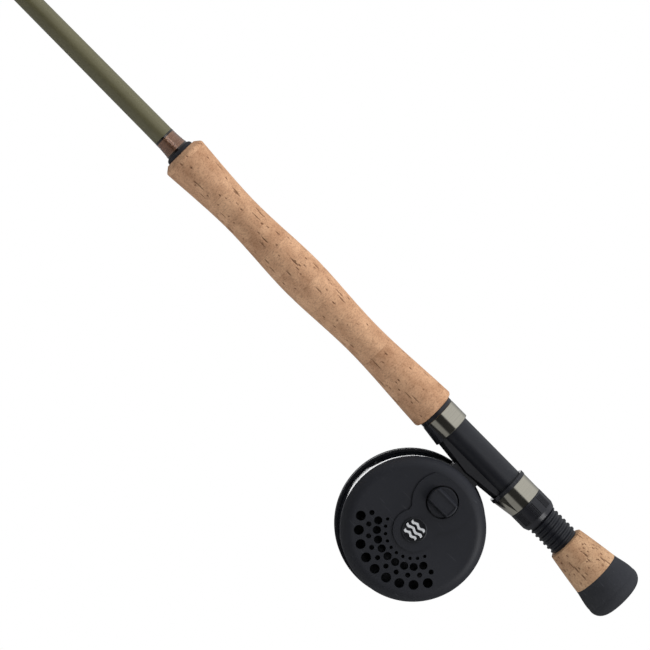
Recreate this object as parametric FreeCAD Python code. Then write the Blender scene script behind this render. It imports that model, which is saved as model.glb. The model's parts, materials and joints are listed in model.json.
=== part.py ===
"""Nine-foot, four-piece fly rod with a caliper-drag fly reel in its uplocking seat.

Frame: origin on the rod's axis at the middle of the cork grip, +X to the tip, +Z up.
The reel hangs below the rod, towards -Z, with its axle along Y: drag knob at +Y, handle at -Y.
Lengths are in millimetres and angles in degrees.
"""
import FreeCAD
import Part
import math
import os

from FreeCAD import Vector

# ---- Overall sizes ----
rod_length = 2743.0            # butt cap's end to the end of the blank, nine feet
grip_length = 187.6
reel_plate_radius = 38.0       # frame's outer radius

# ---- Fits ----
run_fit = 0.05                 # radial clearance of a pin that turns in its bore
slide_fit = 0.10               # sliding hood on the barrel, and reel foot in its pockets
ferrule_fit = 0.03             # radial clearance inside a ferrule
body_gap = 0.30                # least air between pieces that move past each other
cap_gap = 0.5                  # a screw or nut stops this far under the face around it

# ---- Blank ----
section_count = 4
blank_radius = 5.8            # at the grip
butt_taper = 0.0030            # radius lost per millimetre of length
section_tapers = (0.0030, 0.0029, 0.0024)
section_walls = (0.60, 0.55, 0.45)
butt_wall = 1.2
ferrule_overlap = 50.0
blank_in_cap = 14.8            # how far the blank runs into the butt cap
butt_straight_ahead = 12.0     # the blank starts to taper this far ahead of the grip

# ---- Thread wraps ----
wrap_build = 0.28              # thread and varnish over what is wrapped
ferrule_wrap_length = 42.0
grip_wrap_length = 10.4
grip_wrap_rise = 0.75          # the grip wrap thickens by this towards the grip

# ---- Guides ----
first_guide_gap = 100.0        # blank's end to the first guide
guide_growth = 1.13            # each gap is this many times the one before it
snake_count = 8
stripper_count = 2
snake_wire_radius = 0.45
snake_ring_radii = (1.9, 2.0, 2.1, 2.3, 2.5, 2.7, 2.9, 3.2)   # from the tip down, to the wire's middle
snake_turn_length = 7.0
foot_length = 8.0
foot_radius = 0.55
stripper_bore_radii = (5.0, 6.5)    # ceramic rings, smaller one first
stripper_lifts = (11.0, 15.0)       # ring centre above the blank's surface
ceramic_wall = 0.9
ceramic_length = 2.4
stripper_frame_wall = 0.8
stripper_wire_radius = 0.5
stripper_span = 15.0           # ring plane to the inner end of a foot
tip_tube_length = 11.0
tip_tube_wall = 0.35
tip_loop_radius = 2.6
tip_wire_radius = 0.5

# ---- Cork grip: distances from the grip's middle and radii of its outline ----
grip_front_face_radius = 9.4
grip_front_radius = 12.5
grip_front_chamfer = 2.7
grip_swell_radius = 11.8
grip_swell_x = 4.7
grip_front_waist_radius = 10.05
grip_front_waist_x = 48.0
grip_rear_waist_radius = 9.85
grip_rear_waist_x = -40.0
grip_rear_radius = 12.3
grip_rear_face_radius = 10.4
grip_rear_chamfer = 1.6
check_length = 2.2
check_radius = 8.1

# ---- Reel seat, measured rearwards from the grip ----
barrel_radius = 8.8
collar_length = 2.3
collar_radius = barrel_radius + 1.3
hood_length = 11.3
hood_radius = barrel_radius + 1.3
hood_shell_wall = 0.6
lip_length = 2.2
lip_radius = hood_radius + 0.3
nut_length = 11.8
nut_radius = hood_radius + 0.1
nut_gap = 0.12
nut_rib_count = 8
nut_rib_lines = 5
nut_rib_depth = 0.35
thread_shown = 18.1            # thread between the nut and the butt cork
thread_height = 0.85
thread_crest_radius = barrel_radius - 0.1
thread_root_radius = thread_crest_radius - thread_height
thread_pitch = 2.9
thread_fit = 0.15
thread_sink = 0.35             # a rib starts this far inside the wall it stands on
hood_on_thread = 6.0           # the thread starts this far in front of the sliding hood's end

# ---- Fighting butt ----
butt_cork_length = 22.9
butt_cork_front_radius = barrel_radius + 1.4
butt_cork_rear_radius = butt_cork_front_radius + 3.5
butt_cap_length = 19.7
butt_cap_radius = butt_cork_rear_radius + 2.05
butt_flat_radius = 8.0

# ---- Reel foot ----
foot_span = 60.0               # length of the foot along the rod
foot_half_width = 6.7
foot_cover = 9.7               # each hood covers this much of the foot
foot_end_radius = barrel_radius + 0.8       # underside of the foot's ends, from the rod's axis
foot_middle_radius = barrel_radius + 3.9
foot_air = 0.25                # between the foot's underside and the top of the cage
reel_setback = 0.8             # reel's axle behind the middle of its foot
foot_stem_half_length = 8.3
foot_stem_half_width = 5.0
foot_seat_depth = 1.0
cowl_wall = 1.1
foot_screw_spacing = 10.0
foot_screw_head_radius = 2.0
foot_screw_radius = 1.2

# ---- Reel frame, heights along the axle from the reel's middle ----
plate_face_y = 17.0
plate_wall = 2.5
plate_bevel = 6.5              # width of the bevel around the flat face
plate_flat_radius = reel_plate_radius - plate_bevel
plate_rim_y = 12.0
cage_wall = 2.2
cage_front_y = -11.0
slot_low_y = -8.6
slot_high_y = 8.0
pillar_angle = 18.0            # width of the pillars at the tip side and the butt side
foot_wall_angle = 30.0         # solid wall under the foot
base_wall_angle = 58.0         # solid wall at the bottom
boss_rise = 0.8
hub_boss_radius = 11.0
knob_pad_radius = 15.6
neck_half_width = 8.5
neck_flare = 2.5
hole_rings = (                 # distance in from the bevel, hole radius, count, first angle from straight down
    (3.0, 2.6, 9, -60.0),
    (7.9, 1.35, 10, -67.5),
    (12.3, 2.15, 9, -60.0),
    (16.7, 0.9, 10, -67.5),
)
hole_step = 15.0

# ---- Drag ----
knob_offset = 20.5             # knob's axis above the reel's axle
knob_radius = 7.8
knob_recess_radius = 8.7
knob_recess_floor = 16.0
knob_disc_top = 18.6
knob_bar_top = 22.5
knob_bar_half_width = 4.85
knob_bar_top_half_width = 3.9
drag_screw_radius = 1.5
disc_radius = reel_plate_radius - 11.0
disc_low_y = 10.0
disc_high_y = 11.0
disc_teeth = 72
tooth_depth = 1.0
tooth_half_width = 0.75
pad_radius = 4.5
pad_gap = 0.1
pad_travel_gap = 0.6           # moving pad to the disc with the knob at zero
pad_thickness = 0.8
block_thickness = 1.8
bracket_thickness = 1.0
bracket_half_width = 6.0
bracket_screw_across = 7.6
bracket_screw_radius = 0.5
bracket_wall = 1.8
bracket_disc_gap = 1.3         # caliper's wall to the disc's edge

# ---- Click ----
pawl_post_radius = 1.2
pawl_post_across = 9.5
pawl_post_up = -(disc_radius + 3.9)
pawl_hub_radius = 2.3
click_spring_radius = 1.1
spring_wire_radius = 0.2

# ---- Axle ----
spindle_radius = 3.0
spindle_end_y = -16.0
spindle_stud_radius = spindle_radius - 1.0
spindle_flange_radius = spindle_radius + 2.0
nut_room_radius = spindle_stud_radius + 2.6
nut_across_flats = 2 * spindle_stud_radius + 3.0
groove_radius = spindle_radius - 0.8
groove_low_y = -15.6
groove_high_y = -14.2
sleeve_outer_radius = spindle_radius + 2.0
clutch_outer_radius = sleeve_outer_radius + 2.5
disc_hub_radius = clutch_outer_radius + 2.0
hex_across_flats = 2 * spindle_radius + 2.9
key_length = 4.7               # hexagon that drives the sleeve
badge_radius = 6.7

# ---- Spool ----
drum_radius = 16.0
drum_wall = 2.0
back_flange_y = 5.6            # line side of the back flange
flange_wall = 1.2
front_flange_y = -12.3         # line side of the front flange
front_flange_wall = 1.6
rim_wall = 1.5
rim_low_y = -16.6
rim_high_y = -9.0
bushing_radius = spindle_radius + 1.5
bushing_length = 5.0
hub_radius = bushing_radius + 2.5
boss_radius = 12.0
crank_radius = reel_plate_radius - 11.0     # handle and counterweight from the axle
crank_angle = 200.0            # handle's direction from +X towards +Z
latch_travel = 3.2
latch_thickness = 1.0
latch_tab_half_width = 3.5
latch_low_up = -5.5
latch_spring_radius = 0.8
cover_thickness = 0.8
cover_screw_across = 8.4
cover_screw_radius = 0.8
pocket_half_width = spindle_radius + 1.8
pocket_low_up = -11.0
port_rings = (                 # distance in from the handle's circle, hole radius, first angle past the handle
    (0.0, 3.3, 0.0),
    (6.4, 1.9, 15.0),
)
port_count = 12
weight_radius = 4.2
weight_rise = 2.3

# ---- Handle ----
post_radius = 1.8
post_shoulder_radius = 3.6
post_shoulder_length = 1.3
handle_length = 21.3
handle_base_radius = 5.2
handle_waist_radius = 4.3
handle_end_radius = 5.9
handle_screw_radius = 3.2
handle_screw_depth = 1.3


# ---- Places worked out from the sizes above ----
grip_front_x = grip_length / 2
grip_rear_x = -grip_length / 2
fixed_hood_x = grip_rear_x - collar_length
seat_open_x = fixed_hood_x - hood_length
seat_gap = foot_span - 2 * foot_cover
lip_x = seat_open_x - seat_gap
shell_x = lip_x - lip_length
hood_end_x = shell_x - hood_length
nut_front_x = hood_end_x - nut_gap
nut_end_x = nut_front_x - nut_length
barrel_end_x = nut_end_x - thread_shown
thread_front_x = hood_end_x + hood_on_thread
thread_start_x = barrel_end_x + thread_pitch * 0.48
cap_front_x = barrel_end_x - butt_cork_length
butt_end_x = cap_front_x - butt_cap_length
tip_end_x = butt_end_x + rod_length
foot_middle_x = (seat_open_x + lip_x) / 2
reel_x = foot_middle_x - reel_setback
reel_z = -(foot_middle_radius + foot_air + reel_plate_radius)
section_length = (rod_length + (section_count - 1) * ferrule_overlap) / section_count
seams = [butt_end_x + index * (section_length - ferrule_overlap) for index in range(1, section_count)]
plate_inner_y = plate_face_y - plate_wall
raised_y = plate_face_y + boss_rise
cage_inner_radius = reel_plate_radius - cage_wall
bevel_inner_radius = cage_inner_radius - 3.0
bracket_wall_up = disc_radius + bracket_disc_gap
front_y = front_flange_y - front_flange_wall
back_y = back_flange_y + flange_wall
hub_end_y = disc_low_y - 1.8
key_low_y = hub_end_y - key_length
pocket_floor_y = groove_high_y - 0.1
latch_high_y = pocket_floor_y - 0.1
latch_low_y = latch_high_y - latch_thickness
cover_y = groove_low_y - 1.0

X_AXIS = Vector(1, 0, 0)
Y_AXIS = Vector(0, 1, 0)
Z_AXIS = Vector(0, 0, 1)
reel_centre = Vector(reel_x, 0, reel_z)


# ---- Helpers ----
def save(node, shape):
    """Writes one piece, or one group of equal pieces, as a STEP file named after its node."""
    solids = shape.Solids
    if not solids or any(not solid.isValid() or not solid.isClosed() for solid in solids):
        raise ValueError("bad solid in " + node)
    whole = solids[0] if len(solids) == 1 else Part.makeCompound(solids)
    whole.exportStep("parts/" + node + ".step")


def outline(place, steps):
    """Closed wire: a pair ends a straight run, two pairs an arc (its middle and end), a list a smooth curve."""
    edges = []
    here = place(*steps[0])
    for step in steps[1:] + steps[:1]:
        if isinstance(step, list):
            points = [here] + [place(*pair) for pair in step]
            curve = Part.BSplineCurve()
            curve.interpolate(points)
            edges.append(curve.toShape())
            here = points[-1]
            continue
        if isinstance(step[0], tuple):
            middle, end = [place(*pair) for pair in step]
            edges.append(Part.Arc(here, middle, end).toShape())
            here = end
            continue
        end = place(*step)
        if here.distanceToPoint(end) > 1e-6:
            edges.append(Part.LineSegment(here, end).toShape())
        here = end
    return Part.Wire(edges)


def lathe_rod(steps, axis_z=0.0):
    """Solid turned about the rod's axis, or a line below it, from pairs of x and radius."""
    wire = outline(lambda x, radius: Vector(x, 0, axis_z + radius), steps)
    return Part.Face(wire).revolve(Vector(0, 0, axis_z), X_AXIS, 360)


def lathe_reel(steps, across=0.0, up=0.0):
    """Solid turned about an axis along Y, from pairs of radius and y."""
    centre = reel_centre + Vector(across, 0, up)
    wire = outline(lambda radius, y: centre + Vector(radius, y, 0), steps)
    return Part.Face(wire).revolve(centre, Y_AXIS, 360)


def tube_rod(inner, outer, start, end):
    """Tube, or a solid cylinder where inner is 0, along the rod from start to end."""
    return lathe_rod([(start, inner), (start, outer), (end, outer), (end, inner)])


def tube_reel(inner, outer, low, high, across=0.0, up=0.0):
    """Tube, or a solid cylinder where inner is 0, along Y from low to high."""
    return lathe_reel([(inner, low), (outer, low), (outer, high), (inner, high)], across, up)


def block(x_range, y_range, z_range, centre=None):
    """Box between two limits along each axis, from the origin or from a centre."""
    low = Vector(min(x_range), min(y_range), min(z_range))
    size = [abs(pair[1] - pair[0]) for pair in (x_range, y_range, z_range)]
    return Part.makeBox(size[0], size[1], size[2], low + (centre or Vector(0, 0, 0)))


def prism_reel(steps, low, high):
    """Solid between two heights along Y whose outline is given across and up from the reel's axle."""
    wire = outline(lambda across, up: reel_centre + Vector(across, low, up), steps)
    return Part.Face(wire).extrude(Vector(0, high - low, 0))


def bar(start, end, radius):
    """Round bar from one point to another."""
    run = end - start
    return Part.makeCylinder(radius, run.Length, start, run)


def joined(shapes):
    """One solid from shapes that overlap."""
    first = shapes[0]
    return first.fuse(shapes[1:]).removeSplitter() if len(shapes) > 1 else first


def polar(radius, angle):
    """Across and up from the reel's axle for a direction counted from +X towards +Z."""
    turn = math.radians(angle)
    return radius * math.cos(turn), radius * math.sin(turn)


def coil_spring(top, length, coil_radius, wire_radius, turns):
    """Compression spring along Z whose upper end is at top."""
    helix = Part.makeHelix((length - 2 * wire_radius) / turns, length - 2 * wire_radius, coil_radius)
    start = helix.Edges[0].valueAt(helix.Edges[0].FirstParameter)
    tangent = helix.Edges[0].tangentAt(helix.Edges[0].FirstParameter)
    section = Part.Wire(Part.makeCircle(wire_radius, start, tangent))
    coil = Part.Wire(helix.Edges).makePipeShell([section], True, True)
    coil.translate(top - Vector(0, 0, length - wire_radius))
    return coil


# ---- Blank ----
class Section:
    """One length of blank: a cone from its lower end to its upper end, hollow, with a socket if it has one."""

    def __init__(self, start, end, start_radius, taper, wall, straight_to):
        self.start = start
        self.end = end
        self.start_radius = start_radius
        self.taper = taper
        self.wall = wall
        self.straight_to = straight_to

    def radius(self, x):
        return self.start_radius - self.taper * max(0.0, x - self.straight_to)

    def envelope(self, start, end, build=0.0):
        """Solid cone over part of the length, grown by build."""
        return lathe_rod([(start, 0), (start, self.radius(start) + build),
                          (end, self.radius(end) + build), (end, 0)])

    def sleeve(self, start, end, build):
        """Skin of a given thickness over part of the length."""
        return lathe_rod([(start, self.radius(start)), (start, self.radius(start) + build),
                          (end, self.radius(end) + build), (end, self.radius(end))])


def make_sections():
    start = butt_end_x + butt_cap_length - blank_in_cap
    straight_to = grip_front_x + butt_straight_ahead
    found = [Section(start, seams[0] + ferrule_overlap, blank_radius, butt_taper, butt_wall, straight_to)]
    for index, seam in enumerate(seams):
        below = found[-1]
        wall = section_walls[index]
        start_radius = below.radius(seam) + ferrule_fit + wall
        end = seam + section_length
        found.append(Section(seam, end, start_radius, section_tapers[index], wall, seam))
    return found


sections = make_sections()


def make_blank(index):
    part = sections[index]
    outer = [(part.start, part.radius(part.start))]
    if part.straight_to > part.start:
        outer.append((part.straight_to, part.radius(part.straight_to)))
    outer.append((part.end, part.radius(part.end)))
    inner = [(part.end, part.radius(part.end) - part.wall)]
    if index == 0:
        inner.append((part.straight_to, part.radius(part.straight_to) - part.wall))
        inner.append((part.start, part.radius(part.start) - part.wall))
    else:
        below = sections[index - 1]
        socket_end = part.start + ferrule_overlap + 1.0
        socket_radius = below.radius(below.end) + ferrule_fit
        inner.append((socket_end, min(part.radius(socket_end) - part.wall, socket_radius)))
        inner.append((socket_end, below.radius(socket_end) + ferrule_fit))
        inner.append((part.start, below.radius(part.start) + ferrule_fit))
    return lathe_rod(outer + inner)


def guide_places():
    """Distances along X of the guides, from the tip down, kept clear of the ferrules."""
    reach = foot_length + stripper_span
    places = []
    offset = 0.0
    gap = first_guide_gap
    for index in range(snake_count + stripper_count):
        offset += gap
        gap *= guide_growth
        x = tip_end_x - offset
        for seam in seams:
            if seam - reach < x < seam + ferrule_overlap + reach:
                x = seam + ferrule_overlap + reach
        places.append(x)
    return places


guides = guide_places()


def section_at(x):
    """The section whose surface is outside at x."""
    return [part for part in sections if part.start <= x][-1]


def foot_bars(x, inner_end):
    """The two feet of a guide, flat against the blank, and the wraps that hold them."""
    part = section_at(x)
    feet = []
    wraps = []
    for side in (1, -1):
        near = x + side * inner_end
        far = near + side * foot_length
        low, high = min(near, far), max(near, far)
        surface = part.radius(high)
        axis_z = -(surface + foot_radius * 0.7)
        foot = bar(Vector(near - side * 1.5, 0, axis_z), Vector(far, 0, axis_z), foot_radius)
        feet.append(foot.cut(part.envelope(low - 3, high + 3)))
        cover = bar(Vector(near, 0, axis_z), Vector(far + side * 2.0, 0, axis_z), foot_radius + wrap_build)
        sleeve = part.envelope(min(near, far + side * 2.0), max(near, far + side * 2.0), wrap_build)
        wrap = joined([sleeve, cover]).cut([foot, part.envelope(low - 4, high + 4)])
        wraps.append(wrap)
    return feet, wraps


def make_snake(x, ring_radius):
    """One turn of wire that stands on the blank, with a foot at each end."""
    part = section_at(x)
    half = snake_turn_length / 2
    feet, wraps = foot_bars(x, half + 1.0)
    foot_z = -(part.radius(x) + foot_radius * 0.7)
    helix = Part.makeHelix(snake_turn_length, snake_turn_length, ring_radius)
    helix.rotate(Vector(0, 0, 0), Y_AXIS, 90)
    helix.rotate(Vector(0, 0, 0), X_AXIS, 180)
    edge = helix.Edges[0]
    begin = edge.valueAt(edge.FirstParameter)
    turn = math.degrees(math.atan2(begin.y, begin.z))
    helix.rotate(Vector(0, 0, 0), X_AXIS, turn)
    helix.translate(Vector(x - half, 0, foot_z - ring_radius))
    edge = helix.Edges[0]
    begin = edge.valueAt(edge.FirstParameter)
    end = edge.valueAt(edge.LastParameter)
    section = Part.Wire(Part.makeCircle(snake_wire_radius, begin, edge.tangentAt(edge.FirstParameter)))
    pieces = [Part.Wire(helix.Edges).makePipeShell([section], True, True)]
    for side, corner in ((-1, begin), (1, end)):
        pieces.append(Part.makeSphere(snake_wire_radius * 1.02, corner))
        pieces.append(bar(corner, Vector(x + side * (half + 1.5), 0, foot_z), snake_wire_radius))
    wire = joined(pieces + feet).cut(part.envelope(x - 40, x + 40))
    return max(wire.Solids, key=lambda solid: solid.Volume), wraps


def make_stripper(x, bore_radius, lift):
    """Stripping guide: a ring frame on four legs with two feet, and the ceramic ring inside it."""
    part = section_at(x)
    feet, wraps = foot_bars(x, stripper_span)
    foot_z = -(part.radius(x) + foot_radius * 0.7)
    centre_z = -(part.radius(x) + lift)
    ceramic_radius = bore_radius + ceramic_wall
    frame_radius = ceramic_radius + stripper_frame_wall
    half = ceramic_length / 2
    lip = 0.5
    ceramic = lathe_rod([
        (x - half, bore_radius + lip),
        ((x - half + lip * 0.3, bore_radius + lip * 0.3), (x - half + lip, bore_radius)),
        (x + half - lip, bore_radius),
        ((x + half - lip * 0.3, bore_radius + lip * 0.3), (x + half, bore_radius + lip)),
        (x + half, ceramic_radius), (x - half, ceramic_radius)], centre_z)
    ring = lathe_rod([
        (x - half, ceramic_radius - 0.1), (x - half, frame_radius - 0.3),
        ((x, frame_radius), (x + half, frame_radius - 0.3)), (x + half, ceramic_radius - 0.1)], centre_z)
    hole = lathe_rod([(x - 20, 0), (x - 20, ceramic_radius), (x + 20, ceramic_radius), (x + 20, 0)], centre_z)
    spread = frame_radius - 0.4
    leg_lean = 0.35
    legs = []
    for side in (1, -1):
        for across in (1, -1):
            shoulder = Vector(x + side * 0.45, across * spread * math.cos(leg_lean),
                              centre_z + spread * math.sin(leg_lean))
            foot_end = Vector(x + side * (stripper_span - 1.0), across * 0.3, foot_z)
            legs.append(bar(shoulder, foot_end, stripper_wire_radius))
    frame = joined([ring] + legs + feet).cut([hole, part.envelope(x - 40, x + 40)])
    return frame, ceramic, wraps


def make_tip_top():
    """Tube over the blank's end with a wire loop for the line."""
    last = sections[-1]
    start = tip_end_x - tip_tube_length
    tube_radius = last.radius(start) + tip_tube_wall
    tube = tube_rod(0, tube_radius, start, tip_end_x + 0.6)
    loop_x = tip_end_x + 2.2
    loop_z = -(tube_radius + tip_loop_radius * 0.6)
    loop = Part.makeTorus(tip_loop_radius, tip_wire_radius, Vector(loop_x, 0, loop_z), Vector(1, 0, 0.35))
    arms = []
    for across in (1, -1):
        shoulder = Vector(loop_x, across * tip_loop_radius, loop_z)
        arm_foot = Vector(start + 4.0, across * 0.5, -(tube_radius - 0.3))
        arms.append(bar(arm_foot, shoulder, tip_wire_radius * 0.8))
    upper = bar(Vector(tip_end_x, 0, -(tube_radius - 0.5)), Vector(loop_x, 0, loop_z + tip_loop_radius), 0.45)
    whole = joined([tube, loop, upper] + arms)
    return whole.cut(last.envelope(start - 1, tip_end_x))


def build_blank():
    names = ("butt_section", "second_section", "third_section", "tip_section")
    for index, name in enumerate(names):
        save(name, make_blank(index))
    for index, name in enumerate(("second_ferrule_wrap", "third_ferrule_wrap", "tip_ferrule_wrap")):
        seam = seams[index]
        save(name, sections[index + 1].sleeve(seam + 0.4, seam + ferrule_wrap_length, wrap_build))


def build_guides():
    snakes = []
    wraps = []
    for x, ring_radius in zip(guides[:snake_count], snake_ring_radii):
        wire, held = make_snake(x, ring_radius)
        snakes.append(wire)
        wraps.append(held)
    groups = (("upper_tip_snake_guides", 0, 3), ("lower_tip_snake_guides", 3, 5), ("third_snake_guides", 5, 8))
    for name, first, last in groups:
        save(name, Part.makeCompound(snakes[first:last]))
    rings = []
    for index, x in enumerate(guides[snake_count:]):
        frame, ceramic, held = make_stripper(x, stripper_bore_radii[index], stripper_lifts[index])
        save(("small_stripping_guide", "large_stripping_guide")[index], frame)
        rings.append(ceramic)
        wraps.append(held)
    save("ceramic_rings", Part.makeCompound(rings))
    wrap_groups = (("tip_guide_wraps", 0, 5), ("third_guide_wraps", 5, 8), ("second_guide_wraps", 8, 10))
    for name, first, last in wrap_groups:
        save(name, Part.makeCompound([wrap for pair in wraps[first:last] for wrap in pair]))
    save("tip_top", make_tip_top())


# ---- Handle ----
def build_grip():
    check_end = grip_front_x + check_length
    wrap_end = check_end + grip_wrap_length
    wrap_base = blank_radius + wrap_build * 0.4
    save("grip_wrap", lathe_rod([
        (check_end, blank_radius), (check_end, wrap_base + grip_wrap_rise),
        ((check_end + grip_wrap_length * 0.35, wrap_base + grip_wrap_rise * 0.35), (wrap_end, wrap_base)),
        (wrap_end, blank_radius)]).cut(sections[0].envelope(grip_front_x - 5, wrap_end + 5)))
    save("winding_check", lathe_rod([
        (grip_front_x, blank_radius), (grip_front_x, check_radius),
        ((grip_front_x + check_length * 0.6, check_radius - 0.25),
         (check_end, blank_radius + grip_wrap_rise + 0.35)),
        (check_end, blank_radius)]))
    save("cork_grip", lathe_rod([
        (grip_front_x, blank_radius), (grip_front_x, grip_front_face_radius),
        (grip_front_x - grip_front_chamfer * 0.8, grip_front_radius - 0.35),
        ((grip_front_x - grip_front_chamfer, grip_front_radius - 0.08),
         (grip_front_x - grip_front_chamfer * 1.35, grip_front_radius)),
        [((grip_front_x + grip_front_waist_x) / 2, (grip_front_radius + grip_front_waist_radius) / 2 - 0.25),
         (grip_front_waist_x, grip_front_waist_radius),
         ((grip_front_waist_x + grip_swell_x) / 2, (grip_front_waist_radius + grip_swell_radius) / 2),
         (grip_swell_x, grip_swell_radius),
         ((grip_rear_waist_x + grip_swell_x) / 2, (grip_rear_waist_radius + grip_swell_radius) / 2),
         (grip_rear_waist_x, grip_rear_waist_radius),
         ((grip_rear_x + grip_rear_waist_x) / 2, (grip_rear_radius + grip_rear_waist_radius) / 2 - 0.2),
         (grip_rear_x + grip_rear_chamfer * 1.6, grip_rear_radius)],
        ((grip_rear_x + grip_rear_chamfer * 0.6, grip_rear_radius - 0.35),
         (grip_rear_x, grip_rear_face_radius)),
        (grip_rear_x, blank_radius)]))
    save("seat_collar", lathe_rod([
        (grip_rear_x, blank_radius), (grip_rear_x, collar_radius - 0.3), (grip_rear_x - 0.3, collar_radius),
        (fixed_hood_x + 0.3, collar_radius), (fixed_hood_x, collar_radius - 0.3),
        (fixed_hood_x, blank_radius)]))


def foot_radius_at(distance):
    """Radius of the foot's underside at a distance from its middle."""
    share = abs(distance) / (foot_span / 2)
    return foot_middle_radius + (foot_end_radius - foot_middle_radius) * share


def foot_envelope(clearance):
    """The foot's saddle shape, grown by a clearance, as a solid that still holds the barrel's space."""
    half = foot_span / 2 + clearance
    ends = foot_radius_at(foot_span / 2) + clearance
    turned = lathe_rod([
        (foot_middle_x - half, 0), (foot_middle_x - half, ends),
        (foot_middle_x, foot_middle_radius + clearance),
        (foot_middle_x + half, ends), (foot_middle_x + half, 0)])
    width = foot_half_width + clearance
    depth = foot_middle_radius + 10
    return turned.common(block((foot_middle_x - half, foot_middle_x + half), (-width, width), (-depth, 0)))


def cowl(mouth_x, mouth_radius, end_x, end_radius):
    """Wedge under a hood over one end of the reel foot: a cone, only as wide as the foot and its walls."""
    width = foot_half_width + slide_fit + 0.5
    cone = lathe_rod([(end_x, 0), (end_x, end_radius), (mouth_x, mouth_radius), (mouth_x, 0)])
    return cone.common(block((end_x, mouth_x), (-width, width), (-mouth_radius - 5, 0)))


def make_fixed_hood():
    insert_radius = hood_radius - hood_shell_wall
    mouth_radius = foot_radius_at(seat_open_x - foot_middle_x) + slide_fit + cowl_wall
    under = cowl(seat_open_x, mouth_radius, fixed_hood_x, insert_radius + 0.9)
    bore = tube_rod(0, barrel_radius, seat_open_x - 5, fixed_hood_x + 5)
    insert = joined([tube_rod(0, insert_radius, seat_open_x, fixed_hood_x), under])
    insert = insert.cut([bore, foot_envelope(slide_fit)])
    edge = 0.25
    shell = lathe_rod([
        (fixed_hood_x, insert_radius), (fixed_hood_x, hood_radius - edge), (fixed_hood_x - edge, hood_radius),
        (seat_open_x + edge, hood_radius), (seat_open_x, hood_radius - edge), (seat_open_x, insert_radius)])
    return insert, shell.cut(under)


def make_sliding_hood():
    bore_radius = barrel_radius + slide_fit
    insert_radius = hood_radius - hood_shell_wall
    mouth_radius = foot_radius_at(shell_x - foot_middle_x) + slide_fit + 0.8
    core = cowl(shell_x, mouth_radius, hood_end_x, insert_radius + 0.05)
    skin = cowl_skin(mouth_radius, insert_radius)
    lip = joined([
        lathe_rod([(shell_x, 0), (shell_x, lip_radius), (lip_x - 0.3, lip_radius), (lip_x, lip_radius - 0.3),
                   (lip_x, 0)]),
        cowl(lip_x, mouth_radius + hood_shell_wall + 0.3, shell_x, mouth_radius + hood_shell_wall + 0.3)])
    bore = tube_rod(0, bore_radius, hood_end_x - 5, lip_x + 5)
    insert = joined([tube_rod(0, insert_radius, hood_end_x, shell_x), core, lip])
    insert = insert.cut([bore, foot_envelope(slide_fit)])
    shell = joined([tube_rod(0, hood_radius, hood_end_x, shell_x), skin])
    shell = shell.cut([tube_rod(0, insert_radius, hood_end_x - 1, shell_x + 1), core])
    return insert, shell


def cowl_skin(mouth_radius, insert_radius):
    """The pewter shell's outer surface over the cowl, one wall outside the insert."""
    width = foot_half_width + slide_fit + 0.5 + hood_shell_wall
    cone = lathe_rod([
        (hood_end_x, 0), (hood_end_x, insert_radius + 0.05 + hood_shell_wall),
        (shell_x, mouth_radius + hood_shell_wall), (shell_x, 0)])
    return cone.common(block((hood_end_x, shell_x), (-width, width), (-mouth_radius - 5, 0)))


def helical_rib(radius, steps, start_x, turns):
    """Rib along a right-hand helix about the rod's axis, from its section as pairs of radius and length."""
    helix = Part.makeHelix(thread_pitch, thread_pitch * turns, radius)
    section = outline(lambda out, along: Vector(out, 0, along), steps)
    rib = Part.Wire(helix.Edges).makePipeShell([section], True, True)
    rib.rotate(Vector(0, 0, 0), Y_AXIS, 90)
    rib.translate(Vector(start_x, 0, 0))
    return rib


def make_barrel():
    """Barrel whose rear third carries the coarse thread that the lock nut runs on."""
    plain = lathe_rod([
        (fixed_hood_x, blank_radius), (fixed_hood_x, barrel_radius), (thread_front_x, barrel_radius),
        (thread_front_x, thread_root_radius), (barrel_end_x, thread_root_radius), (barrel_end_x, blank_radius)])
    turns = math.floor((thread_front_x - thread_start_x) / thread_pitch - 0.5)
    low, high = thread_root_radius - thread_sink, thread_crest_radius
    root_half, crest_half = thread_pitch * 0.34, thread_pitch * 0.13
    rounding = 0.22
    flank = (root_half - crest_half - rounding * 0.6) / (high - rounding - thread_root_radius)
    base_half = root_half + thread_sink * flank
    rib = helical_rib(thread_root_radius, [
        (low, -base_half), (high - rounding, -crest_half - rounding * 0.6),
        (high, -crest_half + rounding * 0.4), (high, crest_half - rounding * 0.4),
        (high - rounding, crest_half + rounding * 0.6), (low, base_half)],
        thread_start_x, turns)
    return plain.fuse(rib)


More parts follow.
